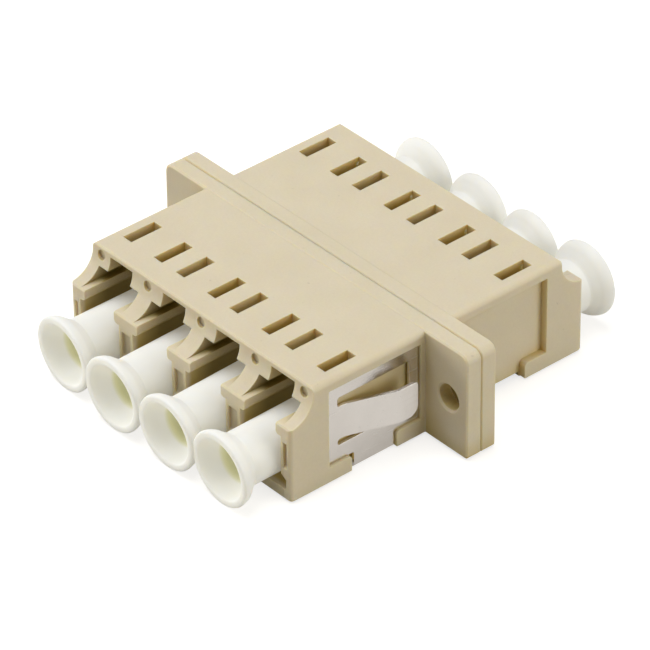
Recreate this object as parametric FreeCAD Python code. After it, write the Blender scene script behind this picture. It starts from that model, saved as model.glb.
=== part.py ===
import FreeCAD, Part
import math
import os

from FreeCAD import Vector

# A four-port fibre adapter for a panel cut-out, in millimetres.
# X runs along the row of ports, Y along the fibres, Z up.
# The origin lies on the seating face of the flange, midway between the two screw holes.
# The front half of the adapter, which passes through the panel, points to -Y.

# Housing
port_count = 4
port_pitch = 6.25
side_wall = 1.1
half_length = 14.65
top_edge_radius = 0.45
upright_edge_radius = 0.35
bottom_edge_radius = 0.18
end_edge_bevel = 0.12
end_face_above_cove = 0.45

# Flange
flange_layer = 1.45
flange_step = 0.04
ear_top_radius = 0.8
ear_bottom_radius = 0.3
flange_edge_bevel = 0.13
parting_chamfer = 0.12
hole_beyond_side = 2.55
ear_beyond_hole = 2.1
front_hole_diameter = 2.2
rear_hole_diameter = 2.4
hole_rim_bevel = 0.15
hole_back_bevel = 0.3

# Port section, from the floor up
floor_thickness = 0.94
port_width = 4.65
port_height = 4.66
rail_gap = 3.53
rail_height = 0.97
rail_corner_radius = 0.3
latch_width = 4.71
latch_height = 2.3
lip_gap = 2.65
lip_thickness = 1.17
roof_thickness = 0.43
inner_roof_drop = 0.65
inner_roof_setback = 0.25
mouth_relief = 0.55
mouth_relief_depth = 3.4
mouth_relief_height = 0.9
mouth_relief_slope = 0.35
divider_wall = 1.6
latch_end_wall = 5.2

# Slots in the top over the catch faces of the lips
slot_width = 0.99
slot_length = 3.02
slot_setback = 2.08

# Marks and grooves in the end faces
mark_diameter = 0.86
mark_depth = 0.2
mark_below_top = 0.75
groove_width = 1.05
groove_rib = 0.26
wall_groove_width = 0.42
groove_depth = 0.25
groove_below_rail = 0.45
groove_length = 2.3

# Sleeve holders and alignment sleeves
holder_diameter = 2.7
sleeve_length = 11.4
sleeve_outer_diameter = 1.62
sleeve_inner_diameter = 1.25
sleeve_slit = 0.2
sleeve_clearance = 0.065
sleeve_end_float = 0.1
holder_lip_length = 0.5
holder_lip_opening = 1.44
holder_lead_in = 0.3

# Side recesses and the panel clip
recess_depth = 0.65
recess_end_wall = 3.75
recess_flange_wall = 0.42
recess_above_floor = 1.5
recess_below_top = 0.95
strap_channel_width = 4.45
strap_channel_depth = 0.45
strap_channel_from_flange = 2.81
ledge_top_radius = 0.35
ledge_foot_radius = 0.2
clip_thickness = 0.25
clip_stand_off = 0.17
clip_end_clearance = 0.09
clip_floor_clearance = 0.02
clip_bend_radius = 0.35
clip_corner_radius = 0.2
strap_front_clearance = 0.41
strap_rear_clearance = 0.05
strap_root_radius = 0.2
tongue_width = 2.95
tongue_above_ledge = 1.88
tongue_root_margin = 1.68
tongue_root_length = 0.08
tongue_tip_from_flange = 1.8
tongue_lift = 1.48
tongue_flat = 1.75
tongue_bend_radius = 1.0
tongue_tip_top_radius = 0.3
tongue_tip_low_radius = 0.9
upper_slit_width = 0.85
lower_slit_width = 0.53
slit_end_radius = 0.25
slit_reach = 0.77
window_rear_margin = 0.87

# Dust caps
cap_length = 13.35
cap_home_rim = 2.7
cap_rim_gap = 0.09
cap_port_clearance = 0.125
cap_trumpet_length = 1.4
cap_shoulder_length = 0.35
cap_shoulder_height = 0.28
cap_lip_bevel = 0.16
cap_mouth_width = 0.32
cap_mouth_rise = 0.32
cap_wall = 0.6
cap_bore_start = 1.25
cap_funnel_waist = 0.5
cap_funnel_depth = 0.4
cap_web = 0.7
cap_seat_gap = 0.05
cap_holder_clearance = 0.06
cap_tip_bevel = 0.3
front_cap_stand_off = (0.53, 1.07, 1.04, 0.92)
rear_cap_stand_off = (1.02, 1.18, 0.69, 0.82)

# How far a cutting shape reaches past the solid, and how close two places count as equal
cutter_reach = 1
same_place = 0.001

# Derived places
rail_underside = floor_thickness + port_height
rail_top = rail_underside + rail_height
roof_underside = rail_top + latch_height
lip_underside = roof_underside - lip_thickness
inner_roof = roof_underside - inner_roof_drop
body_height = roof_underside + roof_thickness
body_width = port_pitch * (port_count - 1) + port_width + 2 * side_wall
screw_spacing = body_width + 2 * hole_beyond_side
flange_width = screw_spacing + 2 * ear_beyond_hole
half_width = body_width / 2
half_height = body_height / 2
underside = -half_height
parting_y = flange_layer
cove_radius = body_height - rail_top - end_face_above_cove
axis_height = floor_thickness + port_height / 2
axis_z = underside + axis_height
top_setback_y = -(half_length - cove_radius)
lip_end_y = top_setback_y + slot_setback
slot_end_y = lip_end_y + slot_length
holder_bore_end = sleeve_length / 2 + sleeve_end_float
holder_length = holder_bore_end + holder_lip_length
above_the_body = body_height + cutter_reach
beyond_the_end = -(half_length + cutter_reach)
beyond_the_side = half_width + cutter_reach
recess_start_y = -(half_length - recess_end_wall)
recess_end_y = -(flange_layer + recess_flange_wall)
channel_rear_y = -(flange_layer + strap_channel_from_flange)
channel_front_y = channel_rear_y - strap_channel_width
recess_top = body_height - recess_below_top
clip_inner_x = half_width - recess_depth + clip_stand_off
tongue_bottom = recess_above_floor + tongue_above_ledge
tongue_top = tongue_bottom + tongue_width
tongue_root_y = parting_y + recess_start_y + clip_end_clearance + tongue_root_margin
tongue_tip_y = -tongue_tip_from_flange
tongue_bend_y = tongue_tip_y - tongue_flat
tongue_lean = math.atan2(tongue_lift, tongue_bend_y - tongue_root_y)
tongue_mitre = clip_thickness * math.tan(tongue_lean / 2)
tongue_bend_reach = tongue_bend_radius * math.tan(tongue_lean / 2)
tongue_start_y = tongue_root_y - tongue_mitre - tongue_bend_reach - tongue_root_length
strap_start_y = parting_y + channel_front_y + strap_front_clearance
strap_end_y = parting_y + channel_rear_y - strap_rear_clearance
cap_rim_radius = (port_pitch - cap_rim_gap) / 2
cap_tube_radius = port_width / 2 - cap_port_clearance
cap_mouth_radius = cap_rim_radius - cap_mouth_width
cap_bore_radius = cap_tube_radius - cap_wall


def port_centres():
    first = -port_pitch * (port_count - 1) / 2
    return [first + port_pitch * index for index in range(port_count)]


def divider_centres():
    return [centre + port_pitch / 2 for centre in port_centres()[:-1]]


def block(x_low, x_high, y_low, y_high, h_low, h_high):
    """A box whose heights are measured from the underside of the housing."""
    corner = Vector(x_low, y_low, underside + h_low)
    return Part.makeBox(x_high - x_low, y_high - y_low, h_high - h_low, corner)


def closed_face(points):
    wire = Part.makePolygon(points + [points[0]])
    return Part.Face(wire)


def across_section(outline, y_low, y_high):
    """Extrude an outline of (x, height) points along Y."""
    face = closed_face([Vector(x, y_low, underside + height) for x, height in outline])
    return face.extrude(Vector(0, y_high - y_low, 0))


def edges_where(shape, test):
    return [edge for edge in shape.Edges if test(edge)]


def edge_box(edge):
    return edge.BoundBox


def is_at(value, target):
    return abs(value - target) < same_place


def cove_prism():
    """The side view of one half, with the cove above the rails, stretched across the width."""
    top = Vector(-half_width, top_setback_y, half_height)
    rail_edge = Vector(-half_width, -half_length, underside + rail_top)
    cove_top = Vector(-half_width, top_setback_y, underside + rail_top + cove_radius)
    slant = cove_radius * math.sqrt(0.5)
    cove_middle = Vector(
        -half_width,
        -half_length + slant,
        underside + rail_top + cove_radius - slant,
    )
    front_low = Vector(-half_width, -half_length, underside)
    back_low = Vector(-half_width, 0, underside)
    back_top = Vector(-half_width, 0, half_height)
    edges = [
        Part.LineSegment(front_low, rail_edge).toShape(),
        Part.Arc(rail_edge, cove_middle, cove_top).toShape(),
        Part.LineSegment(cove_top, top).toShape(),
        Part.LineSegment(top, back_top).toShape(),
        Part.LineSegment(back_top, back_low).toShape(),
        Part.LineSegment(back_low, front_low).toShape(),
    ]
    solid = Part.Face(Part.Wire(edges)).extrude(Vector(body_width, 0, 0))

    def along_an_end(edge):
        box = edge_box(edge)
        high_end = is_at(box.YMin, top_setback_y) and is_at(box.ZMin, half_height)
        rail_end = is_at(box.YMax, -half_length) and is_at(box.ZMax, underside + rail_top)
        return box.XLength > body_width / 2 and (high_end or rail_end)

    def along_the_top(edge):
        box = edge_box(edge)
        return is_at(box.XLength, 0) and is_at(box.ZMin, half_height)

    solid = solid.makeChamfer(end_edge_bevel, edges_where(solid, along_an_end))
    return solid.makeFillet(top_edge_radius, edges_where(solid, along_the_top))


def rounded_block():
    """A block with the rounded uprights and lower edges of one half."""
    solid = block(-half_width, half_width, -half_length, 0, 0, body_height)

    def up_the_end(edge):
        box = edge_box(edge)
        return is_at(box.YMax, -half_length) and box.ZLength > body_height / 2

    def along_the_bottom(edge):
        box = edge_box(edge)
        return is_at(box.ZMax, underside) and not is_at(box.YMin, 0)

    solid = solid.makeFillet(upright_edge_radius, edges_where(solid, up_the_end))
    return solid.makeFillet(bottom_edge_radius, edges_where(solid, along_the_bottom))


def body_block():
    """One half of the housing without its flange: a flat floor and a cove above the rails."""
    return cove_prism().common(rounded_block())


def flange_outline(inset):
    """The face of the flange with its four rounded corners, shrunk by the inset."""
    right = flange_width / 2 - inset
    top = half_height + flange_step - inset
    bottom = underside + inset
    high = ear_top_radius - inset
    low = ear_bottom_radius - inset
    turn = 1 - math.sqrt(0.5)

    def corner(x_sign, z, z_sign, radius):
        start = Vector(x_sign * right, 0, z - z_sign * radius)
        middle = Vector(x_sign * (right - turn * radius), 0, z - z_sign * turn * radius)
        end = Vector(x_sign * (right - radius), 0, z)
        return start, middle, end

    right_top = corner(1, top, 1, high)
    left_top = corner(-1, top, 1, high)
    right_low = corner(1, bottom, -1, low)
    left_low = corner(-1, bottom, -1, low)
    edges = [
        Part.Arc(*right_top).toShape(),
        Part.LineSegment(right_top[2], left_top[2]).toShape(),
        Part.Arc(left_top[2], left_top[1], left_top[0]).toShape(),
        Part.LineSegment(left_top[0], left_low[0]).toShape(),
        Part.Arc(*left_low).toShape(),
        Part.LineSegment(left_low[2], right_low[2]).toShape(),
        Part.Arc(right_low[2], right_low[1], right_low[0]).toShape(),
        Part.LineSegment(right_low[0], right_top[0]).toShape(),
    ]
    return Part.Wire(edges)


def flange_plate(hole_diameter):
    plate = Part.Face(flange_outline(0)).extrude(Vector(0, -flange_layer, 0))

    def on_plane(y):
        return lambda edge: is_at(edge_box(edge).YMin, y) and is_at(edge_box(edge).YMax, y)

    plate = plate.makeChamfer(flange_edge_bevel, edges_where(plate, on_plane(-flange_layer)))
    plate = plate.makeChamfer(parting_chamfer, edges_where(plate, on_plane(0)))
    for side in (-1, 1):
        plate = plate.cut(screw_hole(side * screw_spacing / 2, hole_diameter / 2))
    return plate


def screw_hole(x, radius):
    """The hole is bevelled at the seating face and, more deeply, at the parting face."""
    outline = [
        Vector(0, 0, 0),
        Vector(radius + hole_back_bevel, 0, 0),
        Vector(radius, -hole_back_bevel, 0),
        Vector(radius, -flange_layer + hole_rim_bevel, 0),
        Vector(radius + hole_rim_bevel, -flange_layer, 0),
        Vector(0, -flange_layer, 0),
    ]
    cutter = closed_face(outline).revolve(Vector(0, 0, 0), Vector(0, 1, 0), 360)
    cutter.translate(Vector(x, 0, 0))
    return cutter


def port_cavity(centre):
    """The square opening for a plug, narrowed at the top by the two rails."""
    half = port_width / 2
    front = beyond_the_end
    back = -divider_wall
    cavity = block(centre - half, centre + half, front, back, floor_thickness, rail_underside)
    wide = half + mouth_relief
    low = floor_thickness
    step = floor_thickness + mouth_relief_height
    relief = [
        (centre - wide, low),
        (centre + wide, low),
        (centre + wide, step),
        (centre + half, step + mouth_relief_slope),
        (centre - half, step + mouth_relief_slope),
        (centre - wide, step),
    ]
    mouth = across_section(relief, front, -half_length + mouth_relief_depth)
    return cavity.fuse(mouth)


def rail_slot(centre):
    """The gap between the rails, with the lower rail corners rounded."""
    half = rail_gap / 2
    front = beyond_the_end
    back = -latch_end_wall
    gap = block(centre - half, centre + half, front, back, rail_underside, rail_top)
    for side in (-1, 1):
        corner_x = centre + side * half
        size = rail_corner_radius
        low_x = min(corner_x, corner_x + side * size)
        square = block(low_x, low_x + size, front, back, rail_underside, rail_underside + size)
        axis = Vector(corner_x + side * size, front, underside + rail_underside + size)
        round_part = Part.makeCylinder(size, back - front, axis, Vector(0, 1, 0))
        gap = gap.fuse(square.cut(round_part))
    return gap


def latch_channel(centre):
    """The room above the rails for the latch of a plug, with a lip on each side of its top."""
    front = beyond_the_end
    back = -latch_end_wall
    half = latch_width / 2
    low = block(centre - half, centre + half, front, back, rail_top, lip_underside)
    lip = lip_gap / 2
    step = lip_end_y + inner_roof_setback
    mouth = block(centre - lip, centre + lip, front, step, lip_underside, roof_underside)
    inner = block(centre - lip, centre + lip, step, back, lip_underside, inner_roof)
    return low.fuse([mouth, inner])


def top_slots(centre):
    """Two slots through the top that leave a catch face at the end of each lip."""
    lip = lip_gap / 2
    left = block(centre - lip - slot_width, centre - lip, lip_end_y, slot_end_y,
                 lip_underside, above_the_body)
    right = block(centre + lip, centre + lip + slot_width, lip_end_y, slot_end_y,
                  lip_underside, above_the_body)
    return left.fuse(right)


def holder(centre):
    """The tube that carries one alignment sleeve, standing on the dividing wall."""
    return Part.makeCylinder(
        holder_diameter / 2,
        holder_length - divider_wall / 2,
        Vector(centre, -holder_length, axis_z),
        Vector(0, 1, 0),
    )


def holder_bore(centre):
    """The sleeve's bore, the end lip that keeps it in, and its cone that leads the ferrule in."""
    bore = sleeve_outer_diameter / 2 + sleeve_clearance
    lip = holder_lip_opening / 2
    lead = lip + holder_lead_in
    outline = [
        Vector(0, 0, 0),
        Vector(bore, 0, 0),
        Vector(bore, -holder_bore_end, 0),
        Vector(lip, -holder_bore_end, 0),
        Vector(lead, -holder_length, 0),
        Vector(0, -holder_length, 0),
    ]
    cutter = closed_face(outline).revolve(Vector(0, 0, 0), Vector(0, 1, 0), 360)
    cutter.translate(Vector(centre, 0, axis_z))
    return cutter


def end_marks():
    """Shallow round marks in the end face above each wall of the row."""
    outer = half_width - (half_width - port_centres()[-1] - lip_gap / 2) / 2
    places = [-outer] + divider_centres() + [outer]
    height = half_height - mark_below_top
    return [
        Part.makeCylinder(
            mark_diameter / 2,
            mark_depth + cutter_reach,
            Vector(x, top_setback_y - cutter_reach, height),
            Vector(0, 1, 0),
        )
        for x in places
    ]


def end_grooves():
    """Shallow grooves in the end faces of the walls, bevelled at their lower ends."""
    top = rail_underside - groove_below_rail
    bottom = top - groove_length
    face_y = -half_length
    outline = [
        Vector(0, beyond_the_end, underside + top),
        Vector(0, face_y + groove_depth, underside + top),
        Vector(0, face_y + groove_depth, underside + bottom + groove_depth),
        Vector(0, face_y, underside + bottom),
        Vector(0, beyond_the_end, underside + bottom),
    ]
    spans = [(x - groove_width / 2, groove_width) for x in divider_centres()]
    inner_wall = port_centres()[-1] + port_width / 2 + groove_rib
    spans.append((inner_wall, wall_groove_width))
    spans.append((-inner_wall - wall_groove_width, wall_groove_width))
    grooves = []
    for start, width in spans:
        groove = closed_face(outline).extrude(Vector(width, 0, 0))
        groove.translate(Vector(start, 0, 0))
        grooves.append(groove)
    return grooves


def side_recess(side):
    """The recess for one leg of the clip, closed below by two ledges."""
    inner = half_width - recess_depth
    x_low = inner if side > 0 else -beyond_the_side
    x_high = beyond_the_side if side > 0 else -inner
    recess = block(x_low, x_high, recess_start_y, recess_end_y, recess_above_floor, recess_top)
    gap = block(x_low, x_high, channel_front_y, channel_rear_y, -cutter_reach, recess_above_floor)
    round_start = recess_above_floor - ledge_top_radius
    rounds = []
    for edge_y, direction in ((channel_front_y, -1), (channel_rear_y, 1)):
        for size, h_low, h_axis in ((ledge_top_radius, round_start, round_start),
                                    (ledge_foot_radius, 0, ledge_foot_radius)):
            y_low = min(edge_y, edge_y + direction * size)
            square = block(x_low, x_high, y_low, y_low + size, h_low, h_low + size)
            axis = Vector(x_low, edge_y + direction * size, underside + h_axis)
            round_part = Part.makeCylinder(size, x_high - x_low, axis, Vector(1, 0, 0))
            rounds.append(square.cut(round_part))
    return recess.fuse([gap] + rounds)


def strap_channel():
    return block(-beyond_the_side, beyond_the_side, channel_front_y, channel_rear_y,
                 -cutter_reach, strap_channel_depth)


def housing_half(hole_diameter):
    """One moulded half, with its parting face at y = 0 and its ports towards -Y."""
    solid = body_block().fuse(flange_plate(hole_diameter))
    cutters = [side_recess(-1), side_recess(1), strap_channel()]
    for centre in port_centres():
        cutters.append(port_cavity(centre))
        cutters.append(rail_slot(centre))
        cutters.append(latch_channel(centre))
        cutters.append(top_slots(centre))
    cutters.extend(end_marks())
    cutters.extend(end_grooves())
    solid = solid.cut(cutters)
    solid = solid.fuse([holder(centre) for centre in port_centres()])
    solid = solid.cut([holder_bore(centre) for centre in port_centres()])
    return solid.removeSplitter()


def housing_front():
    half = housing_half(front_hole_diameter)
    half.translate(Vector(0, parting_y, 0))
    return half


def housing_rear():
    half = housing_half(rear_hole_diameter)
    half = half.mirror(Vector(0, 0, 0), Vector(0, 1, 0))
    half.translate(Vector(0, parting_y, 0))
    return half


def alignment_sleeve(centre):
    """A rolled tube with one slit along its upper side, which floats in its holders."""
    outer = sleeve_outer_diameter / 2
    inner = sleeve_inner_diameter / 2
    start = Vector(centre, parting_y - sleeve_length / 2, axis_z)
    along = Vector(0, 1, 0)
    tube = Part.makeCylinder(outer, sleeve_length, start, along)
    tube = tube.cut(Part.makeCylinder(inner, sleeve_length, start, along))
    slit = Part.makeBox(
        sleeve_slit,
        sleeve_length,
        sleeve_outer_diameter,
        Vector(centre - sleeve_slit / 2, start.y, axis_z),
    )
    return tube.cut(slit)


def clip_leg_limits():
    """Limits of the clip's side leg: y to y and height to height."""
    y_low = parting_y + recess_start_y + clip_end_clearance
    y_high = parting_y + recess_end_y - clip_end_clearance
    low = recess_above_floor + clip_floor_clearance
    high = recess_top - clip_end_clearance
    return y_low, y_high, low, high


def rounded_plate(x_low, thickness, y_low, y_high, low, high, radius):
    plate = block(x_low, x_low + thickness, y_low, y_high, low, high)
    corners = edges_where(plate, lambda edge: edge_box(edge).XLength > thickness / 2)
    return plate.makeFillet(radius, corners)


def clip_leg():
    """The right-hand leg: a flat plate with a window from which the tongue is bent."""
    y_low, y_high, low, high = clip_leg_limits()
    plate = rounded_plate(clip_inner_x, clip_thickness, y_low, y_high, low, high,
                          clip_corner_radius)
    x_low = clip_inner_x - cutter_reach
    depth = clip_thickness + 2 * cutter_reach
    bottom = tongue_bottom - lower_slit_width
    top = tongue_top + upper_slit_width
    window = block(x_low, x_low + depth, tongue_start_y, y_high - window_rear_margin, bottom, top)
    for slit_low, slit_high in ((bottom, tongue_bottom), (tongue_top, top)):
        slit_start = tongue_root_y - slit_reach
        slit_end = tongue_root_y + slit_reach
        slit = rounded_plate(x_low, depth, slit_start, slit_end, slit_low, slit_high,
                             slit_end_radius)
        window = window.fuse(slit)
    return plate.cut(window)


def clip_tongue():
    """The spring tongue: it leans out from its root and ends in a short flat parallel to the leg."""
    inner = clip_inner_x
    outer = clip_inner_x + clip_thickness
    outline = [
        (inner, tongue_start_y),
        (outer, tongue_start_y),
        (outer, tongue_root_y - tongue_mitre),
        (outer + tongue_lift, tongue_bend_y - tongue_mitre),
        (outer + tongue_lift, tongue_tip_y),
        (inner + tongue_lift, tongue_tip_y),
        (inner + tongue_lift, tongue_bend_y),
        (inner, tongue_root_y),
    ]
    low_z = underside + tongue_bottom
    high_z = underside + tongue_top
    face = closed_face([Vector(x, y, low_z) for x, y in outline])
    tongue = face.extrude(Vector(0, 0, tongue_width))

    def at_bend(edge):
        box = edge_box(edge)
        at_an_end = is_at(box.YMin, tongue_start_y) or is_at(box.YMax, tongue_tip_y)
        return box.ZLength > tongue_width / 2 and not at_an_end

    def at_tip(z):
        def test(edge):
            box = edge_box(edge)
            level = is_at(box.ZMin, z) and is_at(box.ZMax, z)
            return level and is_at(box.YMin, tongue_tip_y)
        return test

    tongue = tongue.makeFillet(tongue_bend_radius, edges_where(tongue, at_bend))
    tongue = tongue.makeFillet(tongue_tip_top_radius, edges_where(tongue, at_tip(high_z)))
    return tongue.makeFillet(tongue_tip_low_radius, edges_where(tongue, at_tip(low_z)))


def clip_strap():
    """The strap under the housing, turned up at both ends into the legs."""
    inner = clip_inner_x
    outer = inner + clip_thickness
    low = strap_channel_depth - clip_stand_off - clip_thickness
    high = recess_above_floor + clip_floor_clearance
    outside = block(-outer, outer, strap_start_y, strap_end_y, low, high)
    inside = block(-inner, inner, strap_start_y, strap_end_y, low + clip_thickness, high)

    def lower_long_edge(height):
        def test(edge):
            box = edge_box(edge)
            return box.YLength > clip_thickness and is_at(box.ZMax, underside + height)
        return test

    outside = outside.makeFillet(clip_bend_radius, edges_where(outside, lower_long_edge(low)))
    bend = clip_bend_radius - clip_thickness
    inside_edges = edges_where(inside, lower_long_edge(low + clip_thickness))
    inside = inside.makeFillet(bend, inside_edges)
    return outside.cut(inside)


def panel_clip():
    """One folded sheet: a strap under the housing and a leg with a tongue up each side."""
    right = clip_leg().fuse(clip_tongue())
    left = right.mirror(Vector(0, 0, 0), Vector(1, 0, 0))
    clip = clip_strap().fuse([right, left]).removeSplitter()
    root_z = underside + recess_above_floor + clip_floor_clearance

    def at_strap_root(edge):
        box = edge_box(edge)
        level = is_at(box.ZMin, root_z) and is_at(box.ZMax, root_z)
        at_strap = is_at(box.YMin, strap_start_y) or is_at(box.YMin, strap_end_y)
        return level and at_strap and is_at(box.YLength, 0)

    return clip.makeFillet(strap_root_radius, edges_where(clip, at_strap_root))


def dust_cap_profile():
    """Half section of a cap: x is the radius, y runs from the plane of the rim (0) to the tip."""
    # Pushed home, the web stops just short of the end of the sleeve holder.
    web_back = half_length + cap_home_rim - holder_length - cap_seat_gap
    holder_bore = holder_diameter / 2 + cap_holder_clearance
    outline = [
        (cap_mouth_radius, -cap_mouth_rise),
        (cap_rim_radius - cap_lip_bevel, -cap_mouth_rise),
        (cap_rim_radius, -cap_mouth_rise + cap_lip_bevel),
        (cap_rim_radius, 0),
        (cap_tube_radius + cap_shoulder_height, cap_trumpet_length - cap_shoulder_length),
        (cap_tube_radius, cap_trumpet_length),
        (cap_tube_radius, cap_length - cap_tip_bevel),
        (cap_tube_radius - cap_tip_bevel, cap_length),
        (holder_bore, cap_length),
        (holder_bore, web_back),
        (0, web_back),
        (0, web_back - cap_web),
        (cap_bore_radius, web_back - cap_web),
        (cap_bore_radius, cap_bore_start),
        (cap_bore_radius + cap_funnel_waist, cap_funnel_depth),
    ]
    return closed_face([Vector(radius, y, 0) for radius, y in outline])


def dust_cap(centre, direction, stand_off):
    """A cap pushed into one port; direction is -1 for the front row and 1 for the rear row."""
    cap = dust_cap_profile().revolve(Vector(0, 0, 0), Vector(0, 1, 0), 360)
    if direction > 0:
        cap = cap.mirror(Vector(0, 0, 0), Vector(0, 1, 0))
    rim_distance = half_length + cap_home_rim + stand_off
    cap.translate(Vector(centre, parting_y + direction * rim_distance, axis_z))
    return cap


def build():
    pieces = {
        "housing_front": housing_front(),
        "housing_rear": housing_rear(),
        "panel_clip": panel_clip(),
    }
    for index, centre in enumerate(port_centres()):
        number = index + 1
        pieces[f"alignment_sleeve_{number}"] = alignment_sleeve(centre)
        front = dust_cap(centre, -1, front_cap_stand_off[index])
        rear = dust_cap(centre, 1, rear_cap_stand_off[index])
        pieces[f"dust_cap_front_{number}"] = front
        pieces[f"dust_cap_rear_{number}"] = rear
    return pieces


os.makedirs("parts", exist_ok=True)
for name, shape in build().items():
    print(name, "solids", len(shape.Solids), "valid", shape.isValid())
    shape.Solids[0].exportStep(f"parts/{name}.step")
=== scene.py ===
import math

import bmesh
import bpy
from mathutils import Matrix, Vector


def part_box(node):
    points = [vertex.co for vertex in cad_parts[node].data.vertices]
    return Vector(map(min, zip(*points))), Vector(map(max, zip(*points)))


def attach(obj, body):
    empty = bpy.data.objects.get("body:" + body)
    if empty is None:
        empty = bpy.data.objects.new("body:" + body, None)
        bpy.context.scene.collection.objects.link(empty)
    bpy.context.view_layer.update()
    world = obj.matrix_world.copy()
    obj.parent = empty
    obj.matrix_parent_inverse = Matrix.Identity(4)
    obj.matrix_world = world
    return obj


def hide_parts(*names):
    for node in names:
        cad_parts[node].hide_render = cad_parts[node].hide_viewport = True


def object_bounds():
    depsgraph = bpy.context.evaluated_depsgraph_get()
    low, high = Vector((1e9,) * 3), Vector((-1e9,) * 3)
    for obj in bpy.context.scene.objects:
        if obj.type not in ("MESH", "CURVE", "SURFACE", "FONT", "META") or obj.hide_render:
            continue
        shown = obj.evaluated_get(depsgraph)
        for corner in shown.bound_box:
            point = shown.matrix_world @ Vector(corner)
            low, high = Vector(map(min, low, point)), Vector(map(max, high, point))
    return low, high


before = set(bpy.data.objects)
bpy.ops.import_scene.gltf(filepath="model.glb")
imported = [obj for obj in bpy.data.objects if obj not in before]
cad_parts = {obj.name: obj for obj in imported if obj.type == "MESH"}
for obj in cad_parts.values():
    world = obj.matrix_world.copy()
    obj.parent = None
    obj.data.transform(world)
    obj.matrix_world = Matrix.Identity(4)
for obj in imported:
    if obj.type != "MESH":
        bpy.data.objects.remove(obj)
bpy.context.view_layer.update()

MM = 0.001

# Housings: X is measured from the middle of the row, Y from the plane between the two halves.
# Each band runs from where a colour begins to where it is full.
PARTING_Y = 1.45 * MM
SEAM_BAND = (0.14 * MM, 0.03 * MM)
END_BAND = (14.36 * MM, 14.05 * MM)
SIDE_BAND = (12.8 * MM, 12.4 * MM)
EARS_START = 12.9 * MM
PORTS_STOP = 12.0 * MM
PORT_BAND = (15.75 * MM, 12.0 * MM)
PORT_TOP_BAND = (4.1 * MM, 2.6 * MM)
ENCLOSED_BAND = (0.85, 0.2)

# The round marks high in the ends: one over each wall of the row and one at each side.
MARK_HALF_PITCH = 3.125 * MM
MARK_OUTERMOST = 11.75 * MM
MARK_HEIGHT = 3.9 * MM
MARK_REACH = 0.5 * MM
MARKS_STOP = 12.3 * MM
MARK_WALL_BAND = (12.35 * MM, 12.31 * MM)
MARK_FLOOR = 12.12 * MM

BEIGE = (0.715, 0.625, 0.44, 1)
PALE_BEIGE = (0.735, 0.645, 0.46, 1)
GRAIN_BEIGE = (0.6, 0.51, 0.335, 1)
SPECK_BROWN = (0.42, 0.35, 0.22, 1)
# Painted highlight: the housing's edges are drawn lighter and yellower.
EDGE_HIGHLIGHT_BEIGE = (0.78, 0.68, 0.44, 1)
# Painted shade: a warm golden line in the groove of the parting seam.
SEAM_SHADE_BEIGE = (0.76, 0.61, 0.34, 1)
# Painted shade on the walls and floors of the shallow round marks.
MARK_SHADE_BEIGE = (0.48, 0.41, 0.26, 1)
# Painted shade: golden in crevices, olive in the ears' hollows, deep olive inside the ports.
CREVICE_SHADE_GOLD = (0.7, 0.51, 0.13, 1)
EAR_SHADE_OLIVE = (0.34, 0.28, 0.12, 1)
PORT_SHADE_OLIVE = (0.19, 0.135, 0.02, 1)

# Dust caps: radii, and depths that run inwards from the middle of the lip.
CAP_RIM_RADIUS = 3.13
CAP_LIP_HALF_WIDTH = 0.31
CAP_LIP_HALF_HEIGHT = 0.26
CAP_TUBE_RADIUS = 2.195
CAP_BORE_RADIUS = 1.6
CAP_BORE_DEPTH = 1.42
CAP_BORE_MIDDLE = 4.0
CAP_WEB_FRONT = 10.3
CAP_WEB_BACK = 11.0
CAP_SKIRT_BORE = 1.41
CAP_SKIRT_BEVEL = 0.06
CAP_LENGTH = 13.35
CAP_ROUNDING = 0.25
CAP_MOUTH_TO_LIP = 0.32

# Points and control points of a cap's section, as (radius, depth).
FUNNEL_LOW = (1.7, 1.29)
FUNNEL_CONTROL = (2.3, 0.5)
FLARE_CONTROL = (3.07, 0.5)
CONE_START = (2.72, 0.84)
CONE_CONTROL = (2.48, 1.15)
CREASE_DEPTH = 1.5
CREASE_WIDTH = 0.05

# The lip's round runs from the funnel's side, over its front, to the flare's side, in degrees.
# A power below one flattens it.
LIP_FLATNESS = 0.65
LIP_FIRST_TURN = -160
LIP_LAST_TURN = 0
LIP_STEPS = 20
CAP_SEGMENTS = 96

# Each cap leans a little in its port: how far its lip is off the port's axis in X and Z.
CAP_LEAN = {
    "dust_cap_front_1": (-0.37, -0.28),
    "dust_cap_front_2": (-0.03, -0.2),
    "dust_cap_front_3": (0.03, -0.25),
    "dust_cap_front_4": (-0.18, -0.27),
    "dust_cap_rear_1": (0.03, 0.15),
    "dust_cap_rear_2": (-0.03, -0.28),
    "dust_cap_rear_3": (0.22, -0.19),
    "dust_cap_rear_4": (0.01, 0.04),
}
LEAN_PIVOT_DEPTH = 8.5

# Where a cap's painted olive shade deep in the bore begins, and where the painted glow inside its thin
# mouth is strongest.
BORE_RADIUS_BAND = (1.84 * MM, 1.72 * MM)
BORE_DEPTH_BAND = (1.1 * MM, 1.4 * MM)
FUNNEL_SLOPE = 0.68
FUNNEL_BAND = (2.95 * MM, 2.65 * MM)
MOUTH_BAND = (2.2 * MM, 1.2 * MM)

CAP_GREY_WHITE = (0.735, 0.73, 0.672, 1)
CAP_WHITE = (0.755, 0.75, 0.697, 1)
# Painted olive shade deep in a cap's bore.
BORE_SHADE_OLIVE = (0.66, 0.65, 0.47, 1)
# Colours of the painted glow, olive where the bore's painted shade is.
GLOW_WHITE = (1.0, 0.98, 0.9, 1)
GLOW_OLIVE = (0.82, 0.8, 0.48, 1)

# The clip's tongues: how far out their ends are, and how these tilt past the bend.
TONGUE_END_X = 13.6 * MM
TONGUE_BEND_Y = -3.9 * MM
TONGUE_TILT = 0.12

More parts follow.
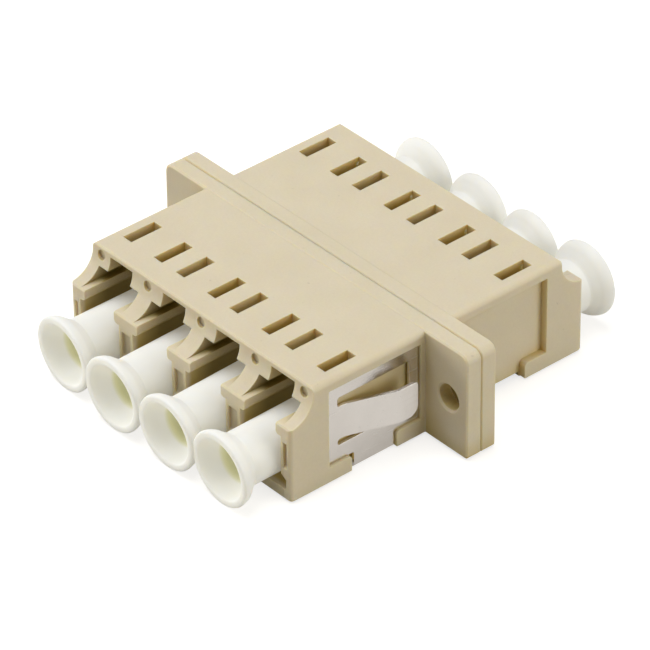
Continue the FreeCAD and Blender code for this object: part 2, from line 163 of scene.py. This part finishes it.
# The camera of the photograph, fitted to the object's corners.
CAMERA_PLACE = Vector((249.213, -212.047, 231.343)) * MM
CAMERA_AZIMUTH = 49.446
CAMERA_ELEVATION = 35.442
CAMERA_ROLL = -0.641
CAMERA_LENS = 292.4
CAMERA_SENSOR = 36.0

FLOOR_REACH = 600 * MM
FLOOR_COLOUR = (0.5, 0.48, 0.43, 1)
FLOOR_SEEN = 0.72
FLOOR_MIRRORED = 0.3
WORLD_LIGHT = 0.215
WORLD_TINT = (1, 0.985, 0.94, 1)
WHITE = (1, 1, 1, 1)

# Square lamps that face the object: name, place and size in mm, power, colour.
LAMPS = (
    ("overhead", (-60, -40, 400), 300, 1.34, (0.9, 0.92, 1.0)),
    ("front_left", (-330, -300, 120), 200, 0.68, (1, 1, 1)),
    ("right_fill", (400, 160, 120), 260, 0.77, (1, 1, 1)),
)


def feed(tree, node, inputs):
    """Set the inputs of a node; each is either a constant or the output that feeds it."""
    for key, value in inputs.items():
        socket = node.inputs[key]
        if isinstance(value, bpy.types.NodeSocket):
            tree.links.new(value, socket)
        else:
            socket.default_value = value


def add_node(tree, kind, inputs, **settings):
    node = tree.nodes.new(kind)
    for name, value in settings.items():
        setattr(node, name, value)
    feed(tree, node, inputs)
    return node


def calculate(tree, operation, first, second=0.0):
    node = add_node(tree, "ShaderNodeMath", {0: first, 1: second}, operation=operation)
    return node.outputs[0]


def product(tree, first, *others):
    for other in others:
        first = calculate(tree, "MULTIPLY", first, other)
    return first


def rescale(tree, value, from_low, from_high, to_low, to_high):
    inputs = {
        "Value": value,
        "From Min": from_low,
        "From Max": from_high,
        "To Min": to_low,
        "To Max": to_high,
    }
    return add_node(tree, "ShaderNodeMapRange", inputs).outputs["Result"]


def mix_colour(tree, factor, first, second):
    node = add_node(tree, "ShaderNodeMix", {0: factor, 6: first, 7: second}, data_type="RGBA")
    return node.outputs[2]


def noise(tree, vector, scale, detail):
    inputs = {"Vector": vector, "Scale": scale, "Detail": detail}
    return add_node(tree, "ShaderNodeTexNoise", inputs).outputs["Fac"]


def stretched_noise(tree, vector, scales, detail):
    """Noise with its own scale along each axis, for the lines of rolling or grinding."""
    mapping = add_node(tree, "ShaderNodeMapping", {"Vector": vector, "Scale": scales})
    return noise(tree, mapping.outputs["Vector"], 1.0, detail)


def rounded_normal(tree, radius):
    bevel = add_node(tree, "ShaderNodeBevel", {"Radius": radius}, samples=6)
    return bevel.outputs["Normal"]


def bump(tree, strength, distance, inputs):
    inputs = {"Strength": strength, "Distance": distance, **inputs}
    return add_node(tree, "ShaderNodeBump", inputs).outputs["Normal"]


def distance_from_axis(tree, first, second):
    flat = add_node(tree, "ShaderNodeCombineXYZ", {"X": first, "Y": second})
    length = add_node(tree, "ShaderNodeVectorMath", {0: flat.outputs[0]}, operation="LENGTH")
    return length.outputs["Value"]


def new_material(name):
    material = bpy.data.materials.new(name)
    material.use_nodes = True
    return material, material.node_tree, material.node_tree.nodes["Principled BSDF"]


def object_place(tree):
    """The place of a point in its piece, and the three parts of it."""
    place = tree.nodes.new("ShaderNodeTexCoord").outputs["Object"]
    parts = add_node(tree, "ShaderNodeSeparateXYZ", {"Vector": place})
    return place, parts.outputs["X"], parts.outputs["Y"], parts.outputs["Z"]


def cloudy_beige(tree, place, clouds, grain):
    """Beige with faint clouds, a fine grain and a few darker specks."""
    specks = noise(tree, place, 1900, 1)
    lively = mix_colour(tree, rescale(tree, clouds, 0.35, 0.65, 0, 1), BEIGE, PALE_BEIGE)
    grained = mix_colour(tree, rescale(tree, grain, 0.3, 0.7, 0, 0.16), lively, GRAIN_BEIGE)
    return mix_colour(tree, rescale(tree, specks, 0.76, 0.84, 0, 0.3), grained, SPECK_BROWN)


def edge_highlight_share(tree):
    """How near a point is to an edge, judged by the turn of a widely rounded normal."""
    flat = tree.nodes.new("ShaderNodeNewGeometry").outputs["True Normal"]
    agreement = add_node(tree, "ShaderNodeVectorMath", {0: rounded_normal(tree, 0.4 * MM), 1: flat},
                         operation="DOT_PRODUCT")
    return rescale(tree, agreement.outputs["Value"], 0.99, 0.8, 0, 0.5)


def mark_share(tree, across, along, height):
    """One on the walls and floors of the round marks, and zero elsewhere."""
    from_wall = calculate(tree, "PINGPONG", across, MARK_HALF_PITCH)
    from_outermost = calculate(tree, "SUBTRACT", across, MARK_OUTERMOST)
    sideways = calculate(tree, "MINIMUM", from_wall, calculate(tree, "ABSOLUTE", from_outermost))
    upwards = calculate(tree, "SUBTRACT", height, MARK_HEIGHT)
    from_centre = distance_from_axis(tree, sideways, upwards)
    in_circle = calculate(tree, "LESS_THAN", from_centre, MARK_REACH)
    on_end = calculate(tree, "LESS_THAN", across, MARKS_STOP)
    past_face = rescale(tree, along, *MARK_WALL_BAND, 0, 1)
    before_floor = calculate(tree, "GREATER_THAN", along, MARK_FLOOR)
    return product(tree, in_circle, on_end, past_face, before_floor)


def port_shade_share(tree, across, along, height, enclosed):
    """How deep a point is in a port, and how enclosed, which sets the painted shade there."""
    inwards = rescale(tree, along, *PORT_BAND, 0, 0.85)
    below = rescale(tree, height, *PORT_TOP_BAND, 0, 1)
    hollow = rescale(tree, enclosed, 0, 0.5, 0, 1)
    within = calculate(tree, "LESS_THAN", across, PORTS_STOP)
    return product(tree, inwards, below, hollow, within)


def moulded_plastic():
    """Beige plastic: slightly cloudy, with a fine moulded skin and soft edges, and painted light and
    shade: lighter edges and darker, golden to olive hollows.
    """
    material, tree, surface = new_material("moulded_plastic")
    place, x, y, height = object_place(tree)
    across = calculate(tree, "ABSOLUTE", x)
    along = calculate(tree, "ABSOLUTE", calculate(tree, "SUBTRACT", y, PARTING_Y))
    clouds = noise(tree, place, 260, 3)
    grain = noise(tree, place, 5200, 2)
    openness = add_node(tree, "ShaderNodeAmbientOcclusion", {"Distance": 3.0 * MM}, samples=8)
    enclosed = rescale(tree, openness.outputs["AO"], *ENCLOSED_BAND, 0, 1)
    # The round marks are so shallow that they hardly count as enclosed.
    in_mark = mark_share(tree, across, along, height)
    shallow = calculate(tree, "SUBTRACT", 1.0, product(tree, in_mark, 0.8))
    enclosed = product(tree, enclosed, shallow)
    on_ear = calculate(tree, "GREATER_THAN", across, EARS_START)
    behind_side = calculate(tree, "MAXIMUM", rescale(tree, across, *SIDE_BAND, 0.2, 1), on_ear)
    behind_end = rescale(tree, along, *END_BAND, 0, 0.9)
    colour = cloudy_beige(tree, place, clouds, grain)
    # Painted light and shade, from the ambient occlusion and the place: lighter edges, darker round
    # marks, golden shade in crevices, olive shade in the ears' hollows, a deep olive shade further
    # into a port, and a warm shade along the parting seam.
    for share, tint in (
        (edge_highlight_share(tree), EDGE_HIGHLIGHT_BEIGE),
        (product(tree, in_mark, 0.4), MARK_SHADE_BEIGE),
        (product(tree, enclosed, behind_end, behind_side), CREVICE_SHADE_GOLD),
        (product(tree, enclosed, on_ear, 0.45), EAR_SHADE_OLIVE),
        (port_shade_share(tree, across, along, height, enclosed), PORT_SHADE_OLIVE),
        (rescale(tree, along, *SEAM_BAND, 0, 0.7), SEAM_SHADE_BEIGE),
    ):
        colour = mix_colour(tree, share, colour, tint)
    feed(tree, surface, {
        "Base Color": colour,
        "Roughness": rescale(tree, clouds, 0.3, 0.7, 0.4, 0.5),
        "Specular IOR Level": 0.22,
        "Subsurface Weight": 0.6,
        "Subsurface Scale": 0.7 * MM,
        "Subsurface Radius": (1.0, 0.75, 0.3),
        "Normal": bump(tree, 0.35, 0.012 * MM, {
            "Height": calculate(tree, "ADD", grain, product(tree, clouds, 4.0)),
            "Normal": rounded_normal(tree, 0.1 * MM),
        }),
    })
    return material


def cap_plastic():
    """Soft white plastic that lets some light through, with a painted glow, strongest inside the
    mouth, and a painted olive shade deep in the bore.
    """
    material, tree, surface = new_material("cap_plastic")
    place, x, y, depth = object_place(tree)
    radius = distance_from_axis(tree, x, y)
    narrow = rescale(tree, radius, *BORE_RADIUS_BAND, 0, 1)
    in_bore = product(tree, narrow, rescale(tree, depth, *BORE_DEPTH_BAND, 0, 1))
    # Painted glow: the whole cap glows a little and the inside of its thin mouth more, standing in for
    # light that comes through the wall.
    beyond_wall = calculate(tree, "ADD", radius, product(tree, depth, FUNNEL_SLOPE))
    in_funnel = rescale(tree, beyond_wall, *FUNNEL_BAND, 0, 1)
    near_mouth = rescale(tree, depth, *MOUTH_BAND, 0, 1)
    clouds = noise(tree, place, 420, 2)
    grain = noise(tree, place, 6500, 2)
    white = mix_colour(tree, clouds, CAP_GREY_WHITE, CAP_WHITE)
    feed(tree, surface, {
        "Base Color": mix_colour(tree, in_bore, white, BORE_SHADE_OLIVE),
        "Roughness": 0.55,
        "Specular IOR Level": 0.3,
        "Subsurface Weight": 1.0,
        "Subsurface Scale": 0.8 * MM,
        "Subsurface Radius": (1.0, 0.92, 0.75),
        "Emission Color": mix_colour(tree, in_bore, GLOW_WHITE, GLOW_OLIVE),
        "Emission Strength": rescale(tree, product(tree, in_funnel, near_mouth), 0, 1, 0.15, 0.25),
        "Normal": bump(tree, 0.25, 0.008 * MM, {
            "Height": calculate(tree, "ADD", grain, product(tree, clouds, 5.0)),
        }),
    })
    return material


def spring_steel():
    """Bright rolled sheet with fine lines along the roll and softened edges."""
    material, tree, surface = new_material("spring_steel")
    place, x, y, _ = object_place(tree)
    lines = stretched_noise(tree, place, (9000.0, 260.0, 9000.0), 3)
    clouds = noise(tree, place, 700, 3)
    # The end of each tongue isn't quite parallel to its leg, so it mirrors the floor.
    at_tongue_end = calculate(tree, "GREATER_THAN", calculate(tree, "ABSOLUTE", x), TONGUE_END_X)
    past_bend = calculate(tree, "MAXIMUM", calculate(tree, "SUBTRACT", y, TONGUE_BEND_Y), 0.0)
    tilt = product(tree, at_tongue_end, past_bend, TONGUE_TILT)
    feed(tree, surface, {
        "Base Color": mix_colour(tree, clouds, (0.76, 0.72, 0.68, 1), (0.82, 0.78, 0.74, 1)),
        "Metallic": 1.0,
        "Roughness": rescale(tree, lines, 0.3, 0.7, 0.16, 0.28),
        "Normal": bump(tree, 1.0, 1.0, {
            "Height": calculate(tree, "ADD", tilt, product(tree, lines, 0.0012 * MM)),
            "Normal": rounded_normal(tree, 0.04 * MM),
        }),
    })
    return material


def ground_ceramic():
    """White ceramic, ground smooth, with faint rings from grinding."""
    material, tree, surface = new_material("ground_ceramic")
    rings = stretched_noise(tree, object_place(tree)[0], (300.0, 14000.0, 300.0), 2)
    feed(tree, surface, {
        "Base Color": mix_colour(tree, rings, (0.86, 0.85, 0.81, 1), (0.91, 0.9, 0.87, 1)),
        "Roughness": rescale(tree, rings, 0.3, 0.7, 0.18, 0.3),
        "Normal": bump(tree, 0.2, 0.003 * MM, {"Height": rings}),
    })
    return material


def bezier(start, control, end, count):
    """Points of a quadratic curve, without its last one."""
    points = []
    for index in range(count):
        t = index / count
        weights = ((1 - t) ** 2, 2 * t * (1 - t), t ** 2)
        points.append(tuple(
            weights[0] * a + weights[1] * b + weights[2] * c
            for a, b, c in zip(start, control, end)
        ))
    return points


def lip_point(degrees):
    """A point on the round lip of a cap, as (radius, depth)."""
    across = math.cos(math.radians(degrees))
    along = math.sin(math.radians(degrees))
    middle = CAP_RIM_RADIUS - CAP_LIP_HALF_WIDTH
    return (
        middle + CAP_LIP_HALF_WIDTH * math.copysign(abs(across) ** LIP_FLATNESS, across),
        CAP_LIP_HALF_HEIGHT * math.copysign(abs(along) ** LIP_FLATNESS, along),
    )


def cap_profile():
    """The whole section of a cap as (radius, depth), from the web's front to its back."""
    bore = CAP_BORE_RADIUS
    tube = CAP_TUBE_RADIUS
    web_round = CAP_WEB_FRONT - CAP_ROUNDING
    skirt_round = CAP_LENGTH - CAP_ROUNDING
    crease = (tube, CREASE_DEPTH)
    lip_turns = [
        LIP_FIRST_TURN + (LIP_LAST_TURN - LIP_FIRST_TURN) * index / LIP_STEPS
        for index in range(LIP_STEPS)
    ]
    points = [(0.0, CAP_WEB_FRONT)]
    points += bezier((bore - CAP_ROUNDING, CAP_WEB_FRONT), (bore, CAP_WEB_FRONT), (bore, web_round), 5)
    points += [(bore, web_round), (bore, CAP_BORE_MIDDLE)]
    points += bezier((bore, CAP_BORE_DEPTH + 0.1), (bore, CAP_BORE_DEPTH), FUNNEL_LOW, 4)
    points += bezier(FUNNEL_LOW, FUNNEL_CONTROL, lip_point(LIP_FIRST_TURN), 12)
    points += [lip_point(turn) for turn in lip_turns]
    points += bezier(lip_point(LIP_LAST_TURN), FLARE_CONTROL, CONE_START, 10)
    points += bezier(CONE_START, CONE_CONTROL, crease, 5)
    points += [crease, (tube, CREASE_DEPTH + CREASE_WIDTH)]
    points += bezier((tube, skirt_round), (tube, CAP_LENGTH), (tube - CAP_ROUNDING, CAP_LENGTH), 5)
    points += [(tube - CAP_ROUNDING, CAP_LENGTH)]
    points += [(CAP_SKIRT_BORE + CAP_SKIRT_BEVEL, CAP_LENGTH)]
    points += [(CAP_SKIRT_BORE, CAP_LENGTH - CAP_SKIRT_BEVEL)]
    points += [(CAP_SKIRT_BORE, CAP_WEB_BACK), (0.0, CAP_WEB_BACK)]
    return points


def lathe_ring(work, radius, depth, segments):
    """The corners of one ring, or the single one where the section meets the axis."""
    if radius == 0:
        return [work.verts.new((0, 0, depth * MM))]
    ring = []
    for index in range(segments):
        angle = 2 * math.pi * index / segments
        ring.append(work.verts.new((
            radius * math.cos(angle) * MM,
            radius * math.sin(angle) * MM,
            depth * MM,
        )))
    return ring


def lathe(name, profile, segments):
    """Turn a section of (radius, depth) points about the piece's own Z axis."""
    mesh = bpy.data.meshes.new(name)
    work = bmesh.new()
    rings = [lathe_ring(work, radius, depth, segments) for radius, depth in profile]
    for first, second in zip(rings, rings[1:]):
        for index in range(segments):
            after = (index + 1) % segments
            if len(first) == 1:
                corners = [first[0], second[index], second[after]]
            elif len(second) == 1:
                corners = [first[index], second[0], first[after]]
            else:
                corners = [first[index], second[index], second[after], first[after]]
            work.faces.new(corners)
    bmesh.ops.recalc_face_normals(work, faces=work.faces)
    for face in work.faces:
        face.smooth = True
    work.to_mesh(mesh)
    work.free()
    piece = bpy.data.objects.new(name, mesh)
    bpy.context.scene.collection.objects.link(piece)
    return piece


def make_cap(node, material):
    """A smooth cap in place of its plain solid, leaning about a point inside its port."""
    low, high = (Vector(corner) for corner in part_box(node))
    outwards = -1 if node.startswith("dust_cap_front") else 1
    mouth_y = low.y if outwards < 0 else high.y
    lip_y = mouth_y - outwards * CAP_MOUTH_TO_LIP * MM
    centre = (low + high) / 2
    pivot = Vector((centre.x, lip_y - outwards * LEAN_PIVOT_DEPTH * MM, centre.z))
    lean_x, lean_z = CAP_LEAN[node]
    lip = Vector((centre.x + lean_x * MM, lip_y, centre.z + lean_z * MM))
    piece = lathe(node.replace("dust_cap", "cap_shell"), cap_profile(), CAP_SEGMENTS)
    turn = (pivot - lip).to_track_quat("Z", "Y").to_matrix().to_4x4()
    piece.matrix_world = Matrix.Translation(lip) @ turn
    piece.data.materials.append(material)
    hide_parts(node)
    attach(piece, node)


def dress_node(name, material):
    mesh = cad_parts[name].data
    mesh.materials.clear()
    mesh.materials.append(material)


def dress_part():
    """Give every piece its material, and every cap its smooth shape."""
    plastic = moulded_plastic()
    steel = spring_steel()
    ceramic = ground_ceramic()
    white_plastic = cap_plastic()
    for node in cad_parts:
        if node.startswith("housing"):
            dress_node(node, plastic)
        elif node.startswith("panel_clip"):
            dress_node(node, steel)
        elif node.startswith("alignment_sleeve"):
            dress_node(node, ceramic)
        else:
            make_cap(node, white_plastic)
            dress_node(node, white_plastic)


def make_floor():
    """A pale floor under the lowest rim; what the camera sees of it is lifted to the backdrop."""
    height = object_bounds()[0][2]
    mesh = bpy.data.meshes.new("floor")
    corners = [
        (x * FLOOR_REACH, y * FLOOR_REACH, height)
        for x, y in ((-1, -1), (1, -1), (1, 1), (-1, 1))
    ]
    mesh.from_pydata(corners, [], [(0, 1, 2, 3)])
    floor = bpy.data.objects.new("floor", mesh)
    bpy.context.scene.collection.objects.link(floor)
    material, tree, surface = new_material("studio_floor")
    path = tree.nodes.new("ShaderNodeLightPath")
    seen = product(tree, path.outputs["Is Camera Ray"], FLOOR_SEEN)
    mirrored = product(tree, path.outputs["Is Glossy Ray"], FLOOR_MIRRORED)
    feed(tree, surface, {
        "Base Color": FLOOR_COLOUR,
        "Roughness": 0.9,
        "Specular IOR Level": 0.0,
        "Emission Color": WHITE,
        "Emission Strength": calculate(tree, "ADD", seen, mirrored),
    })
    mesh.materials.append(material)


def make_world():
    """A white backdrop to the camera, which lights the object only a little."""
    world = bpy.data.worlds.new("studio")
    bpy.context.scene.world = world
    world.use_nodes = True
    tree = world.node_tree
    path = tree.nodes.new("ShaderNodeLightPath").outputs
    seen = calculate(tree, "MAXIMUM", path["Is Camera Ray"], path["Is Transmission Ray"])
    feed(tree, tree.nodes["Background"], {
        "Color": mix_colour(tree, seen, WORLD_TINT, WHITE),
        "Strength": rescale(tree, seen, 0, 1, WORLD_LIGHT, 1.0),
    })


def area_light(name, place, size, power, colour):
    """A square soft light that faces the object."""
    data = bpy.data.lights.new(name, "AREA")
    data.shape = "SQUARE"
    data.size = size * MM
    data.energy = power
    data.color = colour
    lamp = bpy.data.objects.new(name, data)
    bpy.context.scene.collection.objects.link(lamp)
    spot = Vector(place) * MM
    lamp.matrix_world = Matrix.Translation(spot) @ spot.to_track_quat("Z", "Y").to_matrix().to_4x4()


def make_camera():
    data = bpy.data.cameras.new("camera")
    data.lens = CAMERA_LENS
    data.sensor_width = CAMERA_SENSOR
    data.clip_start = 0.05
    data.clip_end = 10
    camera = bpy.data.objects.new("camera", data)
    bpy.context.scene.collection.objects.link(camera)
    azimuth = math.radians(CAMERA_AZIMUTH)
    elevation = math.radians(CAMERA_ELEVATION)
    back = Vector((
        math.sin(azimuth) * math.cos(elevation),
        -math.cos(azimuth) * math.cos(elevation),
        math.sin(elevation),
    ))
    level = back.to_track_quat("Z", "Y").to_matrix().to_4x4()
    roll = Matrix.Rotation(math.radians(CAMERA_ROLL), 4, "Z")
    camera.matrix_world = Matrix.Translation(CAMERA_PLACE) @ level @ roll
    bpy.context.scene.camera = camera


dress_part()
make_floor()
make_world()
for lamp_settings in LAMPS:
    area_light(*lamp_settings)
make_camera()
bpy.context.scene.view_settings.view_transform = "Standard"
